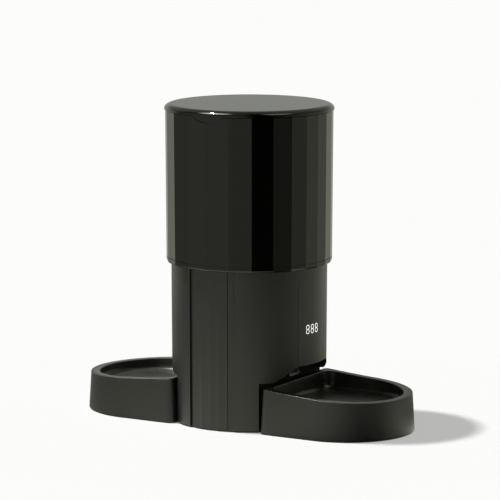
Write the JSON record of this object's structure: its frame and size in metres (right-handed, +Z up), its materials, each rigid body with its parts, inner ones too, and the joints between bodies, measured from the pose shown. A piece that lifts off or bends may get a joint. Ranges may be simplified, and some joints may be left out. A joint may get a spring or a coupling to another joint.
{
  "type": "automatic pet feeder",
  "caption": "Free-standing automatic pet feeder: faceted lidded food hopper on a round base with a portion wheel, chutes to both sides, a display panel and pull-out bowls.",
  "frame": {"origin": "on the floor under the centre of the base", "axes": "+X towards the bowl on the display side, -Y towards the fluted front, +Z up"},
  "size_m": [0.3936, 0.1862, 0.35],
  "materials": {
    "gloss_black": "polished black plastic",
    "satin_black": "satin black plastic",
    "window_black": "satin smoked black plastic",
    "bowl_black": "satin black food-safe plastic",
    "inner_grey": "moulded grey plastic",
    "gear_white": "natural acetal",
    "soft_rubber": "soft black rubber",
    "seal_silicone": "translucent grey silicone",
    "steel": "plain steel",
    "brass": "turned brass",
    "board_green": "solder mask on circuit board",
    "chip_black": "moulded component bodies",
    "cell_wrap": "printed metal sleeve, unmarked"
  },
  "bodies": {
    "base": {"housing_shell": "satin_black", "front_panel": "satin_black", "display_panel": "window_black", "display_led_block": "chip_black", "display_board": "board_green", "display_board_posts": "inner_grey", "base_plate": "satin_black", "base_feet": "soft_rubber", "base_screws": "steel", "battery_box": "inner_grey", "battery_door": "satin_black", "battery_cells": "cell_wrap", "battery_contacts": "steel", "collar_ring": "satin_black", "dispenser_chamber": "inner_grey", "shaft_bush": "brass", "idler_axle": "steel", "motor": "steel", "gear_plate": "inner_grey", "gear_plate_screws": "steel", "main_board": "board_green", "main_board_parts": "chip_black", "main_board_screws": "steel", "power_jack": "chip_black", "power_jack_shelf": "inner_grey", "chute_right": "satin_black", "chute_left": "satin_black"},
    "hopper": {"hopper_shell": "gloss_black", "hopper_funnel": "inner_grey"},
    "lid": {"lid_cover": "gloss_black", "lid_plug_ring": "inner_grey", "lid_seal": "seal_silicone", "desiccant_cup": "inner_grey"},
    "drying_cap": {"desiccant_cap": "inner_grey"},
    "wheel": {"portion_wheel": "soft_rubber", "wheel_shaft": "steel", "output_gear": "gear_white"},
    "idler": {"idler_gear": "gear_white"},
    "pinion": {"motor_pinion": "brass", "motor_shaft": "steel"},
    "right_bowl": {"tray_right": "satin_black", "bowl_right": "bowl_black", "tray_feet_right": "soft_rubber"},
    "left_bowl": {"tray_left": "satin_black", "bowl_left": "bowl_black", "tray_feet_left": "soft_rubber"}
  },
  "joints": [
    {"name": "hopper_lift", "type": "slide", "parent": "base", "child": "hopper", "axis": [0, 0, 1], "range_m": [0, 0.09]},
    {"name": "lid_lift", "type": "slide", "parent": "hopper", "child": "lid", "axis": [0, 0, 1], "range_m": [0, 0.08]},
    {"name": "drying_cap_twist", "type": "hinge", "parent": "lid", "child": "drying_cap", "pos_m": [0, 0, 0.32], "axis": [0, 0, 1], "range_deg": [0, 30]},
    {"name": "wheel_spin", "type": "hinge", "parent": "base", "child": "wheel", "pos_m": [0, 0, 0.1], "axis": [0, 0, 1], "continuous": true},
    {"name": "idler_spin", "type": "hinge", "parent": "base", "child": "idler", "pos_m": [0, 0.02525, 0.1], "axis": [0, 0, 1], "continuous": true},
    {"name": "pinion_spin", "type": "hinge", "parent": "base", "child": "pinion", "pos_m": [0, 0.0505, 0.1], "axis": [0, 0, 1], "continuous": true},
    {"name": "right_bowl_slide", "type": "slide", "parent": "base", "child": "right_bowl", "axis": [1, 0, 0], "range_m": [0, 0.09]},
    {"name": "left_bowl_slide", "type": "slide", "parent": "base", "child": "left_bowl", "axis": [-1, 0, 0], "range_m": [0, 0.09]}
  ],
  "couplings": [
    {"joint": "idler_spin", "follows": "wheel_spin", "ratio": -3},
    {"joint": "pinion_spin", "follows": "wheel_spin", "ratio": 9}
  ]
}
